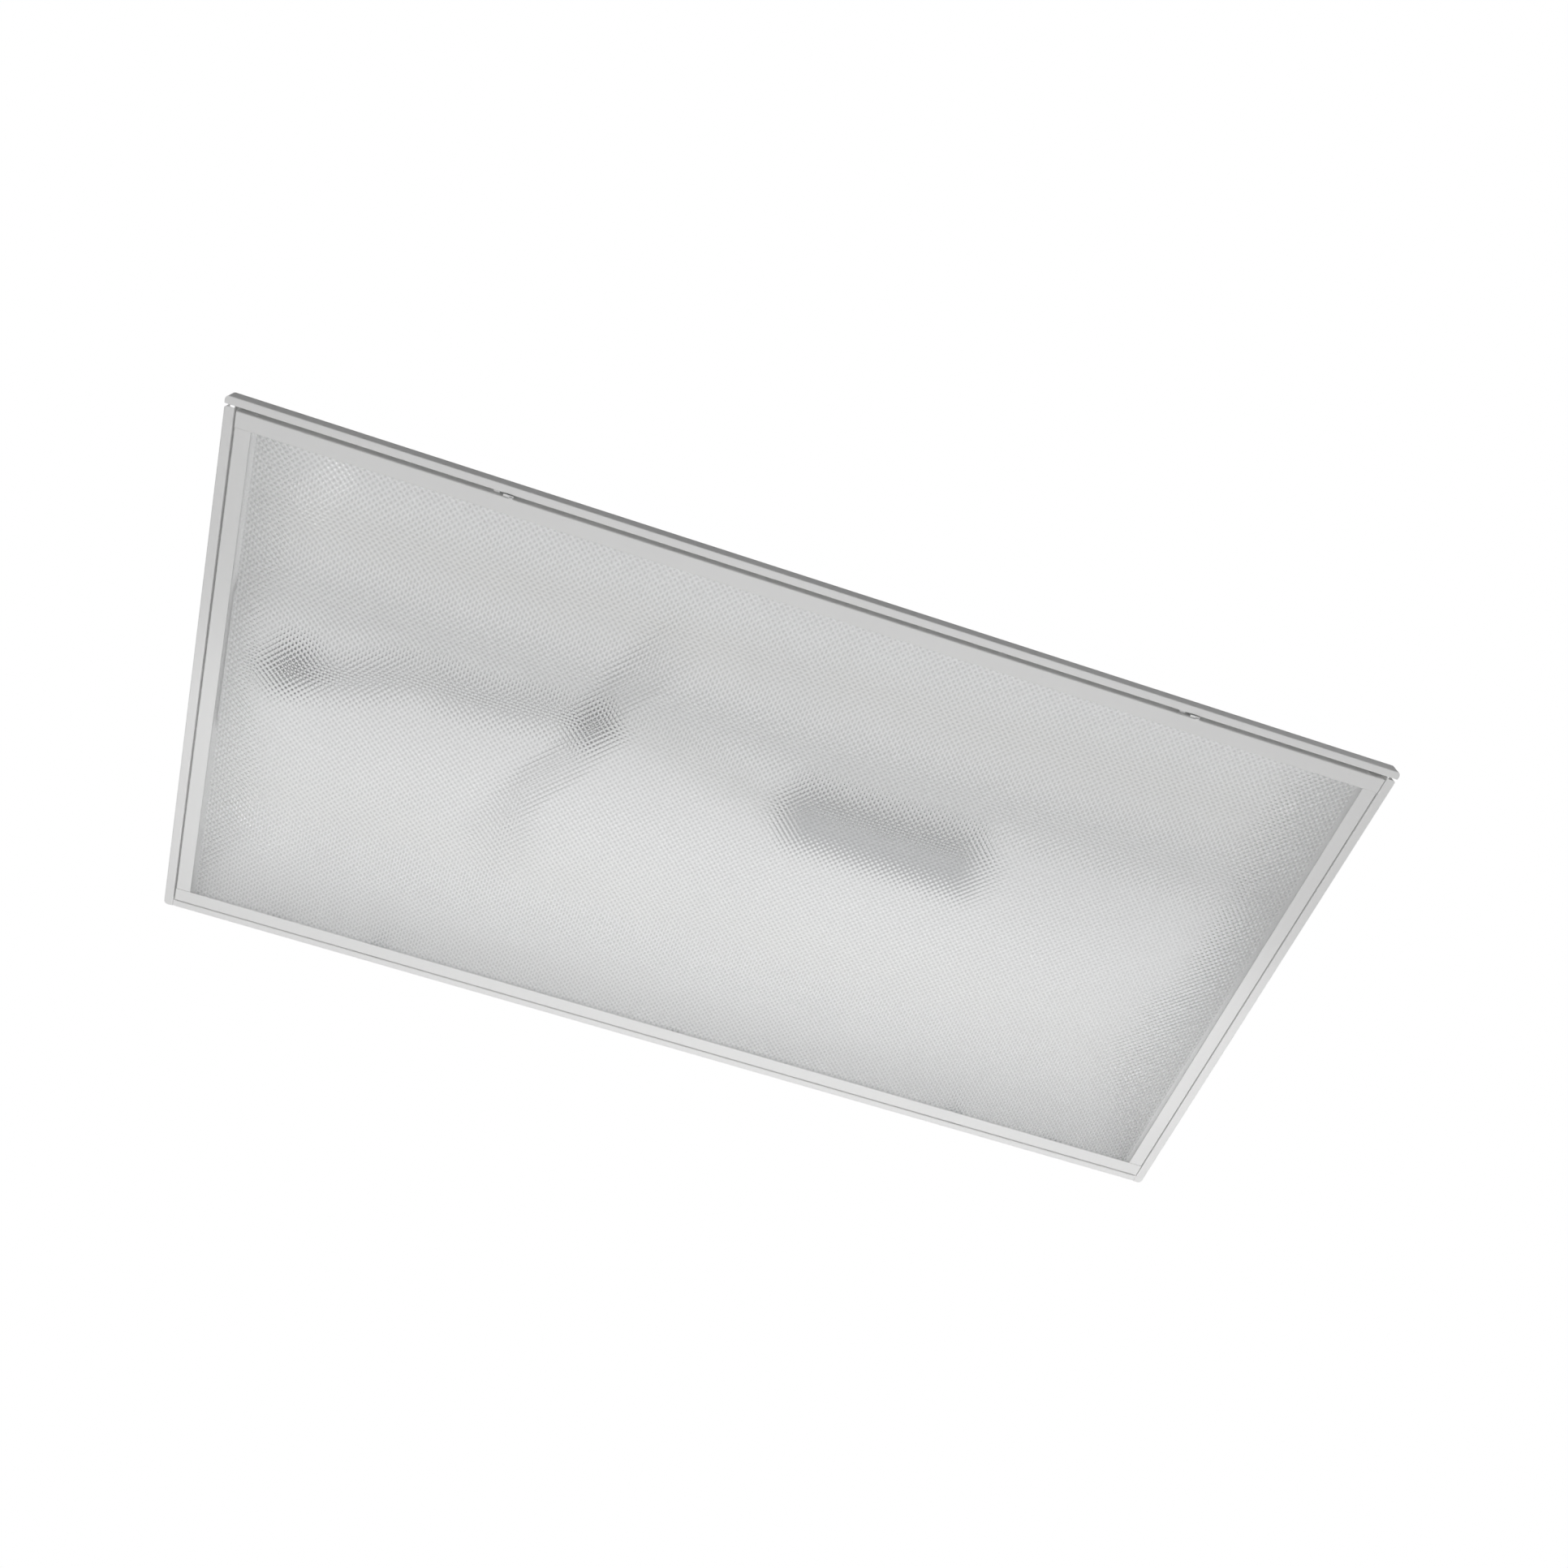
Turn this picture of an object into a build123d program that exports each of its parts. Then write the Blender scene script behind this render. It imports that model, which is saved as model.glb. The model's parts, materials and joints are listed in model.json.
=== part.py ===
"""Recessed troffer light that lays in a 2 ft by 4 ft ceiling grid opening.

Frame, in millimetres: the origin is the centre of the ceiling opening, in the plane of the flange's
underside. +X runs along the light, +Y points to the hinged side of the door, and +Z points up into
the ceiling. "Near" is the latch side (-Y) and "far" the hinge side (+Y).
"""

import os
from math import pi, radians, tan

from build123d import *

os.makedirs("parts", exist_ok=True)

# Housing, folded from steel sheet
housing_length = 1212.8
housing_width = 603.2
housing_depth = 82.6
sheet = 0.8
bend_radius = 0.5
lip_height = 14.0
long_flange = 8.6
short_flange = 10.0
flange_corner_radius = 5.0
near_joint_gap = 2.0
far_joint_gap = 0.4
flange_end_radius = 3.0
wall_height = 24.0
top_width = 460.0

# End plate tabs and their rivets
tab_length = 12.0
tab_width = 20.0
tab_base_z = 6.0
tab_inset_y = 80.0
tab_top_drop = 4.0
rivet_radius = 1.6
rivet_head_radius = 2.2
rivet_head = 0.6
hole_clearance = 0.05

# Cutters start clear of the metal and run right through it
clear = 1.0
cutter_length = 6.0

# Hanger wire holes in the top
hanger_spacing_x = 1040.0
hanger_spacing_y = 400.0
hanger_hole_radius = 3.6

# Wireway under the top, a flat cover on two folded rails
channel_width = 154.0
channel_base_z = 60.0
channel_slope_run = 30.0
channel_foot = 12.0
channel_lip = 11.0
channel_end_gap = 2.4
channel_screw_inset = 94.0
screw_radius = 1.75
screw_head_radius = 3.5
screw_head = 2.0
screw_point = 2.4

# Wiring access plate on the top
access_inset = 166.4
access_length = 110.0
access_width = 60.0
access_lap = 10.0
conduit_hole_radius = 11.1
access_screw_point = 1.0

# Door frame and lens
door_gap = 2.8
door_drop = 2.5
rail_width = 16.0
rail_height = 12.5
rail_joint_gap = 0.6
rail_close_gap = 0.1
lens_thickness = 3.0
lens_overlap = 7.0
lens_clip_inset = 113.6
lens_clip_width = 18.0
lens_clip_reach = 5.0
lens_clip_height = 8.0
key_arm = 25.0
key_height = 9.0
key_sheet = 1.2
key_rivet_inset = 16.0
key_rivet_rise = 5.7

# Hinges
hinge_inset = 233.6
pivot_inset = 6.2
pivot_rise = 4.2
pin_radius = 1.5
pin_head_radius = 2.3
pin_head = 0.8
pin_end_play = 0.2
running_clearance = 0.05
knuckle_radius = 2.6
strap_width = 14.0
strap_sheet = 1.2
strap_clearance = 3.0
strap_plate = 9.0
strap_rivet_inset = 3.8
strap_rivet_rise = 5.4
ear_sheet = 1.2
ear_gap = 0.4
ear_back = 2.4
ear_front = 3.0
ear_wall = 2.6
foot_front = 1.0
foot_length = 36.0
swing_clearance = 1.5
notch_gap = 0.1

# Latches
latch_left_inset = 263.6
latch_right_inset = 210.6
latch_pivot_z = 4.0
latch_sheet = 0.8
latch_side_gap = 0.3
latch_disc_radius = 4.5
latch_arm_length = 15.0
latch_arm_width = 4.0
latch_swing = 60.0
latch_stem_width = 6.0
latch_stem_length = 5.5
latch_tab_width = 10.0
latch_pull_width = 3.5
latch_pull_length = 2.5
latch_pull_offset = 2.75
latch_head_radius = 2.6
latch_head_gap = 0.1
keeper_inset = 9.5
keeper_width = 6.0
keeper_height = 9.0
keeper_gap = 0.3

# Hold-down clips that swing out over the ceiling grid
clip_y = 232.0
clip_base_z = 40.3
clip_height = 15.4
clip_sheet = 1.0
clip_barrel_radius = 2.8
clip_barrel_gap = 1.2
clip_leaf_length = 34.0
clip_hook_width = 6.0
clip_hook_drop = 6.3
clip_ear_gap = 0.3
clip_ear_margin = 0.4
clip_bracket_width = 16.0
clip_rivet_spacing_y = 11.0
clip_rivet_radius = 1.2
clip_rivet_head_radius = 2.0

# LED boards
board_length = 560.0
board_width = 24.0
board_thickness = 1.6
board_y = 172.0
board_joint = 30.0
led_pitch = 24.0
led_count = 22
led_length = 3.5
led_width = 2.8
led_height = 0.8
board_screw_inset = 16.0
board_screw_offset = 7.0
board_screw_radius = 1.5
board_screw_head_radius = 2.8
board_screw_head = 1.6
connector_length = 12.0
connector_width = 8.0
connector_height = 5.0
connector_end_gap = 3.0
near_feed_x = -143.0
far_feed_x = -262.0
far_lead_offset = 5.0

# Driver under the wireway
driver_x = 155.0
driver_y = -18.0
driver_length = 210.0
driver_width = 50.0
driver_height = 24.0
driver_wall = 1.0
driver_base_sheet = 0.8
driver_foot = 13.0
circuit_thickness = 1.6
circuit_margin = 2.0
post_radius = 3.0
post_height = 13.0
post_inset = 9.0
transformer_length = 26.0
transformer_width = 24.0
transformer_height = 11.0
capacitor_radius = 5.0
capacitor_height = 10.0
capacitor_pitch = 22.0
terminal_length = 14.0
terminal_width = 16.0
terminal_height = 10.0
bushing_flange_radius = 6.0
bushing_flange = 2.0
bushing_wall = 1.5

# Plug, splice, leads and what holds them
plug_inset = 71.4
plug_y = -8.0
plug_length = 40.0
plug_width = 22.0
plug_height = 13.0
plug_neck_margin = 4.0
plug_neck_height = 12.0
plug_cutout_gap = 0.2
splice_x = -191.0
splice_y = -48.0
splice_length = 30.0
splice_width = 18.0
splice_height = 11.0
supply_radius = 3.5
driver_lead_radius = 3.0
led_lead_radius = 2.2
jumper_radius = 1.6
jumper_sag = 0.8
supply_gap = 1.0
driver_lead_gap = 0.5
led_lead_gap = 1.5
corner_share = 0.45
lead_clearance = 0.1
saddle_length = 10.0
saddle_wall = 2.5
saddle_clearance = 0.5
ground_inset = 36.4
ground_y = 30.0
ground_head_radius = 4.5
ground_head = 3.5

# Places worked out from the sizes above
half_length = housing_length / 2
half_width = housing_width / 2
wall_x = half_length - short_flange
wall_y = half_width - long_flange
top_z = housing_depth - sheet
top_half = top_width / 2
tab_y = top_half - tab_inset_y
tab_top_z = wall_height - tab_top_drop
channel_half = channel_width / 2
channel_foot_y = channel_half + channel_slope_run
channel_edge_y = channel_foot_y + channel_foot
channel_screw_y = channel_foot_y + channel_foot / 2
cover_screw_y = channel_half - channel_lip / 2
channel_end_x = wall_x - channel_end_gap
channel_screw_x = channel_end_x - channel_screw_inset
access_x = access_inset - wall_x
plug_x = plug_inset - wall_x
ground_x = ground_inset - wall_x
door_x = wall_x - door_gap
door_y = wall_y - door_gap
seat_z = sheet - door_drop
rail_top_z = rail_height - door_drop
rail_inner_x = door_x - rail_width
rail_inner_y = door_y - rail_width
lens_x = rail_inner_x + lens_overlap
lens_y = rail_inner_y + lens_overlap
hinge_x = door_x - hinge_inset
latch_left_x = latch_left_inset - door_x
latch_right_x = door_x - latch_right_inset
lens_clip_x = door_x - lens_clip_inset
pivot_y = door_y - pivot_inset
pivot_z = seat_z + pivot_rise
latch_face_y = door_y + latch_side_gap
driver_base_z = channel_base_z - driver_base_sheet
driver_floor_z = driver_base_z - driver_height + driver_base_sheet
driver_left_x = driver_x - driver_length / 2
circuit_z = driver_floor_z + driver_wall + post_height
board_z = top_z - board_thickness
connector_z = board_z - connector_height
lead_entry_z = connector_z + connector_height / 2
everything = 2 * housing_length


def block(low, high):
    """Box between two opposite corners."""
    size = [abs(b - a) for a, b in zip(low, high)]
    middle = [(a + b) / 2 for a, b in zip(low, high)]
    return Pos(*middle) * Box(*size)


def rod(start, direction, length, radius):
    """Cylinder that starts at a point and runs along a direction."""
    base = (Align.CENTER, Align.CENTER, Align.MIN)
    return Plane(origin=start, z_dir=direction) * Cylinder(radius, length, align=base)


def along(start, direction, distance):
    """Point at a distance from start along a unit direction."""
    return tuple(s + d * distance for s, d in zip(start, direction))


def hole(face, direction, radius):
    """Cutter for a round hole at a face point, where direction runs into the metal."""
    return rod(along(face, direction, -clear), direction, cutter_length, radius)


def rivet(face, direction, grip, radius, head_radius, head, tail_radius=None):
    """Headed pin through a grip of metal. Its head sits on a face point, direction runs into the metal."""
    solid = rod(along(face, direction, -head), direction, head, head_radius)
    solid += rod(face, direction, grip, radius)
    if tail_radius:
        solid += rod(along(face, direction, grip), direction, head, tail_radius)
    return solid


def folded_face(points, thickness=sheet, inside_radius=bend_radius):
    """Section of a sheet folded along points, with the metal on the left of the path."""
    path = [Vector(*point) for point in points]
    headings = [(b - a).normalized() for a, b in zip(path, path[1:])]
    lefts = [Vector(-heading.Y, heading.X) for heading in headings]
    back = [path[0] + lefts[0] * thickness]
    front_radii = [0.0]
    back_radii = [0.0]
    for corner, before, after, heading, turned in zip(path[1:], lefts, lefts[1:], headings, headings[1:]):
        mitre = (before + after).normalized()
        back.append(corner + mitre * (thickness / mitre.dot(before)))
        turns_left = heading.cross(turned).Z > 0
        front_radii.append(inside_radius + thickness if turns_left else inside_radius)
        back_radii.append(inside_radius if turns_left else inside_radius + thickness)
    back.append(path[-1] + lefts[-1] * thickness)
    front_radii.append(0.0)
    back_radii.append(0.0)
    outline = path + back[::-1]
    radii = front_radii + back_radii[::-1]
    return make_face(FilletPolyline(*outline, radius=radii, close=True))


def along_x(section, low, high):
    """Solid of a (Y, Z) section between two X stations."""
    return Pos(low, 0, 0) * extrude(Plane.YZ * section, amount=high - low, dir=(1, 0, 0))


def along_y(section, low, high):
    """Solid of an (X, Z) section between two Y stations."""
    return Pos(0, low, 0) * extrude(Plane.XZ * section, amount=high - low, dir=(0, 1, 0))


def mirror_x(solid):
    """The same piece at the other end of the light."""
    return mirror(solid, about=Plane.YZ)


def mirror_y(solid):
    """The same piece on the other side of the light."""
    return mirror(solid, about=Plane.XZ)


def between(start, finish, *shares):
    """Points from start to finish, each given by its shares of the way along X, Y and Z."""
    spans = [(a, b - a) for a, b in zip(start, finish)]
    middle = [tuple(a + span * share for (a, span), share in zip(spans, point)) for point in shares]
    return [start, *middle, finish]


def tube(name, points, radius):
    """Lead of round section along straight runs joined by arcs as large as the runs allow."""
    route = [Vector(*point) for point in points]
    radii = []
    for before, corner, after in zip(route, route[1:], route[2:]):
        turn = radians((corner - before).get_angle(after - corner))
        shorter = min((corner - before).length, (after - corner).length)
        radii.append(corner_share * shorter / tan(turn / 2))
    print(name, "least bend radius", round(min(radii), 1), "mm, diameter", 2 * radius)
    path = FilletPolyline(*route, radius=radii)
    section = Plane(origin=path @ 0, z_dir=path % 0) * Circle(radius)
    solid = sweep(section, path=path)
    steady = pi * radius**2 * path.length
    print(name, "length", round(path.length, 1), "mm, volume over section times length",
          round(solid.volume / steady, 4))
    return solid


def save(name, *pieces):
    """Writes one sub-part, as a group if it has several solids."""
    solids = [solid for piece in pieces for solid in piece.solids()]
    group = solids[0] if len(solids) == 1 else Compound(solids)
    group.label = name
    export_step(group, f"parts/{name}.step")


# ---------------------------------------------------------------- housing

end_rivet_places = []
for end in (-1, 1):
    rivet_x = end * (wall_x - tab_length / 2)
    for side in (-1, 1):
        end_rivet_places.append(((rivet_x, side * tab_y, housing_depth), (0, 0, -1)))
        rivet_z = (tab_base_z + tab_top_z) / 2
        end_rivet_places.append(((rivet_x, side * (wall_y + sheet), rivet_z), (0, -side, 0)))

channel_screw_places = []
cover_screw_places = []
for screw_x in (-channel_screw_x, 0, channel_screw_x):
    for side in (-1, 1):
        channel_screw_places.append((screw_x, side * channel_screw_y, top_z - sheet))
        cover_screw_places.append((screw_x, side * cover_screw_y, channel_base_z))

board_ends = [(-1, -1), (-1, 1), (1, -1), (1, 1)]
board_screw_places = []
for end, side in board_ends:
    for distance in (board_screw_inset, board_length / 2, board_length - board_screw_inset):
        screw_x = end * (board_joint / 2 + distance)
        board_screw_places.append((screw_x, side * (board_y + board_screw_offset), board_z))

access_screw_places = [
    (access_x + end * (access_length + access_lap) / 2, 0, housing_depth + sheet) for end in (-1, 1)
]

strap_rivet_places = []
for end in (-1, 1):
    for side in (-1, 1):
        rivet_x = end * hinge_x + side * strap_rivet_inset
        rivet_z = rail_top_z + strap_clearance + strap_rivet_rise
        strap_rivet_places.append((rivet_x, wall_y + sheet, rivet_z))


def plan_outline(low, high):
    """Rounded plan shape of the whole flange, from one height to another."""
    outline = RectangleRounded(housing_length, housing_width, flange_corner_radius)
    return Pos(0, 0, low) * extrude(outline, amount=high - low)


def square_corner(x, y, inward_x, inward_y):
    """What a rounded corner at the end of a flange leaves out, through the whole lip."""
    radius = flange_end_radius
    round_x = x + inward_x * radius
    round_y = y + inward_y * radius
    low = (min(x - inward_x * clear, round_x), min(y - inward_y * clear, round_y), -clear)
    high = (max(x - inward_x * clear, round_x), max(y - inward_y * clear, round_y), lip_height + clear)
    return block(low, high) - rod((round_x, round_y, -2 * clear), (0, 0, 1), lip_height + 4 * clear, radius)


def housing_pan():
    """Side walls, slopes, top and long flanges, folded from one sheet."""
    flange = [(-half_width, lip_height), (-half_width, 0), (-wall_y, 0)]
    near = flange + [(-wall_y, wall_height), (-top_half, top_z)]
    far = [(-y, z) for y, z in reversed(near)]
    solid = along_x(folded_face(near + far), -half_length, half_length)
    solid &= plan_outline(-clear, housing_depth + clear)
    for end in (-1, 1):
        wall = end * wall_x
        joint = end * (wall_x - far_joint_gap)
        outside = end * housing_length
        beyond = half_width + clear
        solid -= block((wall, -wall_y - sheet - bend_radius, sheet), (outside, half_width, everything))
        solid -= block((wall, -wall_y, -clear), (outside, beyond, everything))
        solid -= block((joint, wall_y + sheet + bend_radius, -clear), (outside, beyond, everything))
    cut_x = access_length / 2
    cut_y = access_width / 2
    solid -= block((access_x - cut_x, -cut_y, top_z - clear), (access_x + cut_x, cut_y, everything))
    for x in (-hanger_spacing_x / 2, hanger_spacing_x / 2):
        for y in (-hanger_spacing_y / 2, hanger_spacing_y / 2):
            solid -= hole((x, y, housing_depth), (0, 0, -1), hanger_hole_radius)
    for place, direction in end_rivet_places:
        solid -= hole(place, direction, rivet_radius + hole_clearance)
    for place in channel_screw_places:
        solid -= hole(place, (0, 0, 1), screw_radius + hole_clearance)
    for place in board_screw_places:
        solid -= hole(place, (0, 0, 1), board_screw_radius + hole_clearance)
    for place in access_screw_places:
        solid -= hole(place, (0, 0, -1), board_screw_radius + hole_clearance)
    for place in strap_rivet_places:
        solid -= hole(place, (0, -1, 0), rivet_radius + hole_clearance)
    return solid


def clip_rivet_places(end):
    """Rivets of the two clip brackets at one end, each on the outer face of its bracket plate."""
    x = end * (wall_x + sheet + clip_sheet)
    z = clip_base_z + clip_height / 2
    offsets = (-clip_rivet_spacing_y / 2, clip_rivet_spacing_y / 2)
    return [(x, side * clip_y + offset, z) for side in (-1, 1) for offset in offsets]


def end_plate_left():
    """End wall with the short flange, its lip, and four tabs that lap inside the pan."""
    path = [(-half_length, lip_height), (-half_length, 0), (-wall_x, 0), (-wall_x, housing_depth)]
    solid = along_y(folded_face(path), -wall_y, half_width)
    solid &= plan_outline(-clear, housing_depth + clear)
    outline = Polyline(
        (-wall_y, -clear),
        (-wall_y, wall_height),
        (-top_half, housing_depth),
        (top_half, housing_depth),
        (wall_y, wall_height),
        (wall_y, -clear),
        close=True,
    )
    outer_x = -wall_x - sheet - bend_radius
    beyond_x = clear - wall_x
    fold_z = sheet + bend_radius
    zone = block((outer_x, -wall_y - clear, fold_z), (beyond_x, half_width + clear, everything))
    solid -= zone - along_x(make_face(outline), outer_x, beyond_x)
    joint_y = -wall_y + near_joint_gap
    solid -= block((-half_length - clear, -wall_y - clear, -clear), (outer_x, joint_y, everything))
    solid -= block((outer_x, -wall_y - clear, -clear), (beyond_x, joint_y, fold_z))
    solid -= square_corner(-half_length, joint_y, 1, 1)
    inner_x = tab_length - wall_x
    for side in (-1, 1):
        tab_edges = [side * tab_y - tab_width / 2, side * tab_y + tab_width / 2]
        solid += block((-wall_x, tab_edges[0], top_z - sheet), (inner_x, tab_edges[1], top_z))
        inner_y = side * (wall_y - sheet)
        solid += block((-wall_x, inner_y, tab_base_z), (inner_x, side * wall_y, tab_top_z))
    for place, direction in end_rivet_places:
        solid -= hole(place, direction, rivet_radius + hole_clearance)
    for place in clip_rivet_places(-1):
        solid -= hole(place, (1, 0, 0), clip_rivet_radius + hole_clearance)
    return solid


def driver_screw_places():
    """Screws through the driver's feet, under the base plate."""
    reach = (driver_length + driver_foot) / 2
    return [(driver_x + end * reach, driver_y, driver_base_z) for end in (-1, 1)]


def wireway_rail():
    """Folded rail on the far side of the wireway, from a foot under the top to a lip over the cover."""
    foot_z = top_z - sheet
    cover_z = channel_base_z + sheet
    path = [(channel_half - channel_lip, cover_z), (channel_half, cover_z), (channel_foot_y, foot_z)]
    solid = along_x(folded_face(path + [(channel_edge_y, foot_z)]), -channel_end_x, channel_end_x)
    for place in channel_screw_places + cover_screw_places:
        solid -= hole(place, (0, 0, 1), screw_radius + hole_clearance)
    return solid


def wireway_cover():
    """Flat cover that carries the driver, with a cutout for the plug's neck."""
    low = (-channel_end_x, -channel_half, channel_base_z)
    solid = block(low, (channel_end_x, channel_half, channel_base_z + sheet))
    neck_x = plug_length / 2 - plug_neck_margin + plug_cutout_gap
    neck_y = plug_width / 2 - plug_neck_margin + plug_cutout_gap
    low = (plug_x - neck_x, plug_y - neck_y, channel_base_z - clear)
    solid -= block(low, (plug_x + neck_x, plug_y + neck_y, channel_base_z + sheet + clear))
    for place in driver_screw_places():
        solid -= hole(place, (0, 0, 1), board_screw_radius + hole_clearance)
    for place in cover_screw_places:
        solid -= hole(place, (0, 0, 1), screw_radius + hole_clearance)
    return solid - hole((ground_x, ground_y, channel_base_z), (0, 0, 1), screw_radius + hole_clearance)


def access_plate():
    """Plate over the wiring opening in the top, with an opening for a conduit fitting."""
    reach_x = access_length / 2 + access_lap
    reach_y = access_width / 2 + access_lap
    top = housing_depth + sheet
    solid = block((access_x - reach_x, -reach_y, housing_depth), (access_x + reach_x, reach_y, top))
    solid -= hole((access_x, 0, top), (0, 0, -1), conduit_hole_radius)
    for place in access_screw_places:
        solid -= hole(place, (0, 0, -1), board_screw_radius + hole_clearance)
    return solid


save("housing_pan", housing_pan())
left_plate = end_plate_left()
save("end_plate_left", left_plate)
save("end_plate_right", mirror_x(left_plate))
save("end_plate_rivets", *[
    rivet(place, direction, 2 * sheet, rivet_radius, rivet_head_radius, rivet_head, rivet_head_radius)
    for place, direction in end_rivet_places
])
save("wireway_cover", wireway_cover())
far_rail = wireway_rail()
save("wireway_rails", far_rail, mirror_y(far_rail))
save("wireway_screws", *[
    rivet(place, (0, 0, 1), 2 * sheet + screw_point, screw_radius, screw_head_radius, screw_head)
    for place in channel_screw_places + cover_screw_places
])
save("access_plate", access_plate())
save("access_plate_screws", *[
    rivet(place, (0, 0, -1), 2 * sheet + access_screw_point, board_screw_radius, board_screw_head_radius,
          board_screw_head)
    for place in access_screw_places
])


# ---------------------------------------------------------------- driver


def driver_case():
    """Open-topped can with four posts for the circuit board and a hole for the lead bushing."""
    half_x = driver_length / 2
    half_y = driver_width / 2
    low = (driver_x - half_x, driver_y - half_y, driver_floor_z)
    high = (driver_x + half_x, driver_y + half_y, driver_base_z)
    solid = block(low, high)
    inside = (high[0] - driver_wall, high[1] - driver_wall, everything)
    solid -= block(along(low, (1, 1, 1), driver_wall), inside)
    for end in (-1, 1):
        for side in (-1, 1):
            x = driver_x + end * (half_x - post_inset)
            y = driver_y + side * (half_y - post_inset)
            solid += rod((x, y, driver_floor_z + driver_wall), (0, 0, 1), post_height, post_radius)
    bush_radius = driver_lead_radius + lead_clearance + bushing_wall
    return solid - hole((low[0], driver_y, bushing_z), (1, 0, 0), bush_radius)


def driver_bushing():
    """Flanged sleeve that guards the lead where it enters the case."""
    start = (driver_left_x - bushing_flange, driver_y, bushing_z)
    bore = driver_lead_radius + lead_clearance
    solid = rod(start, (1, 0, 0), bushing_flange, bushing_flange_radius)
    solid += rod(start, (1, 0, 0), bushing_flange + 2 * driver_wall, bore + bushing_wall)
    return solid - hole(start, (1, 0, 0), bore)


def driver_base():
    """Base plate with a foot at each end, flat against the wireway's cover."""
    half_x = driver_length / 2 + driver_foot
    half_y = driver_width / 2
    low = (driver_x - half_x, driver_y - half_y, driver_base_z)
    solid = block(low, (driver_x + half_x, driver_y + half_y, channel_base_z))
    for place in driver_screw_places():
        solid -= hole(place, (0, 0, 1), board_screw_radius + hole_clearance)
    return solid


def driver_capacitors():
    """Row of capacitors under the circuit board."""
    xs = [driver_x + capacitor_pitch * step for step in (1, 2, 3)]
    return [rod((x, driver_y, circuit_z), (0, 0, -1), capacitor_height, capacitor_radius) for x in xs]


bushing_z = circuit_z - terminal_height / 2
circuit_half_x = driver_length / 2 - driver_wall - circuit_margin
circuit_half_y = driver_width / 2 - driver_wall - circuit_margin
terminal_x = driver_left_x + 2 * driver_wall + circuit_margin

save("driver_case", driver_case())
save("driver_base", driver_base())
save("driver_bushing", driver_bushing())
save("driver_board", block(
    (driver_x - circuit_half_x, driver_y - circuit_half_y, circuit_z),
    (driver_x + circuit_half_x, driver_y + circuit_half_y, circuit_z + circuit_thickness),
))
save("driver_transformer", block(
    (driver_x - transformer_length, driver_y - transformer_width / 2, circuit_z - transformer_height),
    (driver_x, driver_y + transformer_width / 2, circuit_z),
))
save("driver_capacitors", *driver_capacitors())
save("driver_terminal", block(
    (terminal_x, driver_y - terminal_width / 2, circuit_z - terminal_height),
    (terminal_x + terminal_length, driver_y + terminal_width / 2, circuit_z),
))
save("driver_screws", *[
    rivet(place, (0, 0, 1), driver_base_sheet + sheet + screw_point, board_screw_radius,
          board_screw_head_radius, board_screw_head)
    for place in driver_screw_places()
])


# ---------------------------------------------------------------- LED boards


def board_span(end):
    """Low and high X of the boards at one end."""
    inner = end * board_joint / 2
    outer = end * (board_joint / 2 + board_length)
    return min(inner, outer), max(inner, outer)


def led_board(end, side):
    """White circuit board flat under the top, with its screw holes."""
    low_x, high_x = board_span(end)
    low = (low_x, side * board_y - board_width / 2, board_z)
    solid = block(low, (high_x, side * board_y + board_width / 2, top_z))
    for place in board_screw_places:
        solid -= hole(place, (0, 0, 1), board_screw_radius + hole_clearance)
    return solid


def led_packages(end, side):
    """LEDs along the middle of one board."""
    low_x, high_x = board_span(end)
    first = (low_x + high_x - led_pitch * (led_count - 1)) / 2
    reach = (led_length / 2, led_width / 2)
    packages = []
    for index in range(led_count):
        x = first + index * led_pitch
        low = (x - reach[0], side * board_y - reach[1], board_z - led_height)
        packages.append(block(low, (x + reach[0], side * board_y + reach[1], board_z)))
    return packages


def connector(middle_x, side):
    """Push-in connector on the inner edge of a board."""
    inner_y = side * (board_y - board_width / 2)
    outer_y = inner_y + side * connector_width
    low = (middle_x - connector_length / 2, inner_y, connector_z)
    return block(low, (middle_x + connector_length / 2, outer_y, board_z))


def jumper(side):
    """Short sagging lead from one board to the next."""
    reach = board_joint / 2 + connector_end_gap
    y = side * (board_y - board_width / 2 + connector_width / 2)
    points = [
        (-reach, y, lead_entry_z),
        (-reach / 2, y, lead_entry_z),
        (0, y + jumper_sag / 2, lead_entry_z - jumper_sag),
        (reach / 2, y, lead_entry_z),
        (reach, y, lead_entry_z),
    ]
    return tube("led_jumper", points, jumper_radius)


ends = {-1: "left", 1: "right"}
sides = {-1: "near", 1: "far"}
for end, side in board_ends:
    save(f"led_board_{sides[side]}_{ends[end]}", led_board(end, side))
    save(f"led_packages_{sides[side]}_{ends[end]}", *led_packages(end, side))
end_connector_x = board_joint / 2 + connector_end_gap + connector_length / 2
save("led_connectors",
     *[connector(end * end_connector_x, side) for end, side in board_ends],
     connector(near_feed_x, -1),
     connector(far_feed_x, 1))
save("led_jumpers", jumper(-1), jumper(1))
save("led_board_screws", *[
    rivet(place, (0, 0, 1), board_thickness + sheet + screw_point, board_screw_radius,
          board_screw_head_radius, board_screw_head)
    for place in board_screw_places
])


# ---------------------------------------------------------------- plug, splice and leads


def supply_disconnect():
    """Plug under the cover, with a neck that reaches into the wireway through the cutout."""
    half_x = plug_length / 2
    half_y = plug_width / 2
    low = (plug_x - half_x, plug_y - half_y, channel_base_z - plug_height)
    solid = block(low, (plug_x + half_x, plug_y + half_y, channel_base_z))
    neck_x = half_x - plug_neck_margin
    neck_y = half_y - plug_neck_margin
    neck_top = channel_base_z + plug_neck_height
    neck_low = (plug_x - neck_x, plug_y - neck_y, channel_base_z)
    return solid + block(neck_low, (plug_x + neck_x, plug_y + neck_y, neck_top))


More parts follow.
